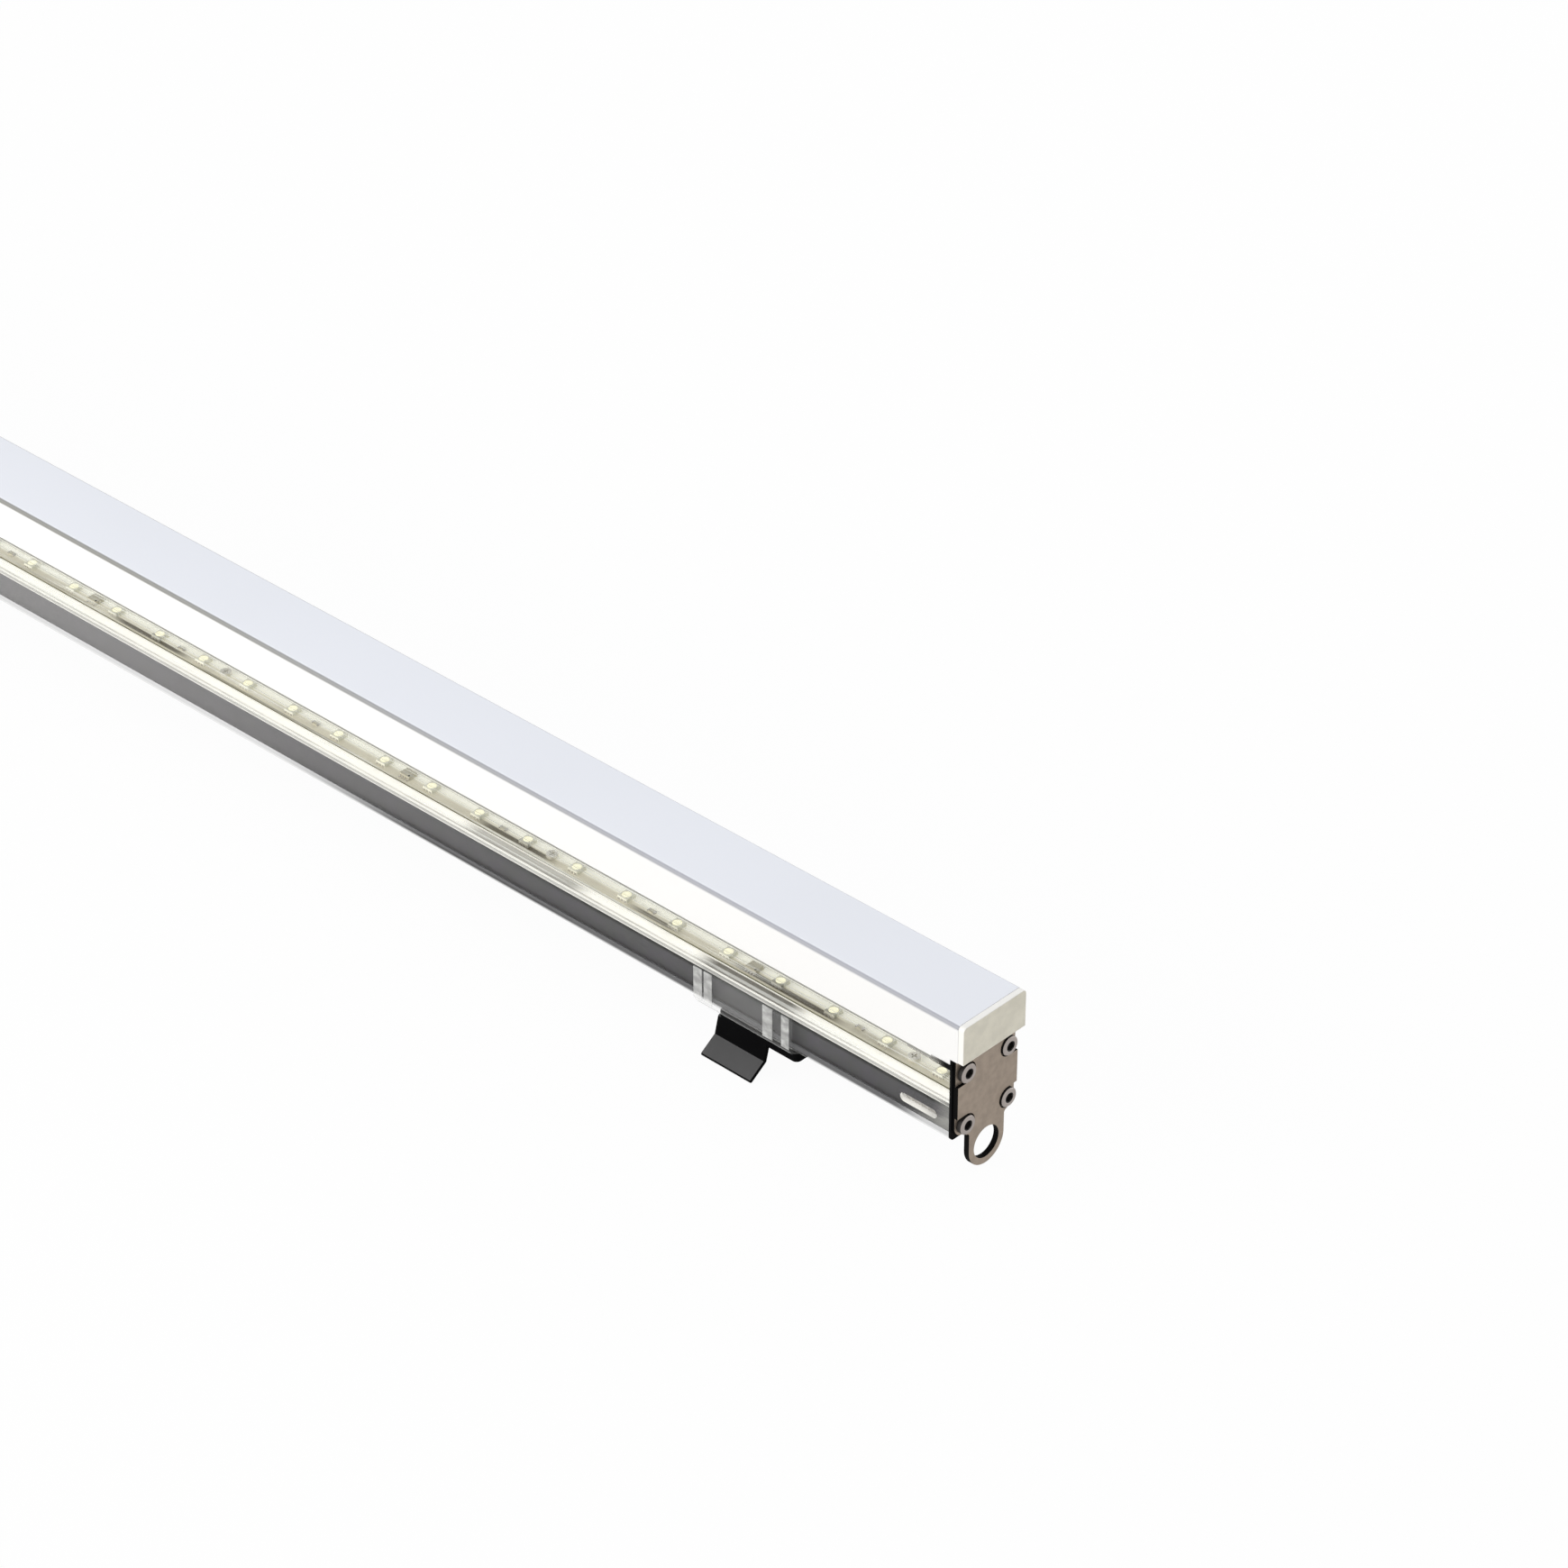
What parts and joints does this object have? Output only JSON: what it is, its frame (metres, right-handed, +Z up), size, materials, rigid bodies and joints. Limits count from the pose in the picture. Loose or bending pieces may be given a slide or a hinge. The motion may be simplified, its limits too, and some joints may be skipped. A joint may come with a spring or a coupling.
{
  "type": "linear wall washer light",
  "caption": "Long outdoor light bar: clear lower profile with a dark channel and LED board inside, opal cover, metal end plates with eyelets, and sliding clips with flared black feet.",
  "frame": {"origin": "under the middle of the bar, at the level of the clips' feet", "axes": "+X along the bar towards the near end, +Z up through the opal cover, the picture looks at the -Y side"},
  "size_m": [1, 0.0444, 0.0629],
  "materials": {
    "clear_plastic": "clear, slightly smoky, glossy",
    "opal_plastic": "milk white with a lilac cast, satin gloss",
    "grey_rubber": "matt grey",
    "dark_aluminium": "dark anodised, satin",
    "white_plastic": "matt white",
    "board": "solder mask, pale yellow grey",
    "led_case": "matt off-white",
    "phosphor": "yellow, slightly glossy",
    "black_plastic": "matt black",
    "steel": "stainless, satin",
    "green_plastic": "matt green",
    "lead_insulation": "red-brown insulation",
    "ivory_plastic": "ivory, satin",
    "black_rubber": "matt black",
    "plate_metal": "warm grey-brown, satin anodised",
    "saddle_plastic": "clear with frosted ribs",
    "clip_nylon": "black, satin",
    "gland_metal": "nickel-plated brass, satin"
  },
  "bodies": {
    "lamp": {"clear_body": "clear_plastic", "opal_cover": "opal_plastic", "cover_seals": "grey_rubber", "inner_channel": "dark_aluminium", "reflector_wings": "white_plastic", "led_board": "board", "led_packages": "led_case", "led_phosphors": "phosphor", "driver_chips": "black_plastic", "resistors": "black_plastic", "board_screws": "steel", "supply_terminal": "green_plastic", "supply_leads": "lead_insulation", "end_cap_near": "ivory_plastic", "end_cap_far": "ivory_plastic", "end_gasket_near": "black_rubber", "end_gasket_far": "black_rubber", "end_plate_near": "plate_metal", "end_plate_far": "plate_metal", "end_screws_near": "steel", "end_screws_far": "steel", "gland_gasket": "black_rubber", "gland_body": "gland_metal", "gland_locknut": "gland_metal", "gland_seal": "black_rubber", "gland_nut": "gland_metal"},
    "clip_near": {"clip_saddle_near": "saddle_plastic", "spring_clip_near": "clip_nylon", "clip_rivets_near": "steel"},
    "clip_far": {"clip_saddle_far": "saddle_plastic", "spring_clip_far": "clip_nylon", "clip_rivets_far": "steel"}
  },
  "joints": [
    {"name": "clip_slide_near", "type": "slide", "parent": "lamp", "child": "clip_near", "axis": [1, 0, 0], "range_m": [-0.38, 0.068]},
    {"name": "clip_slide_far", "type": "slide", "parent": "lamp", "child": "clip_far", "axis": [1, 0, 0], "range_m": [-0.033, 0.38]}
  ]
}
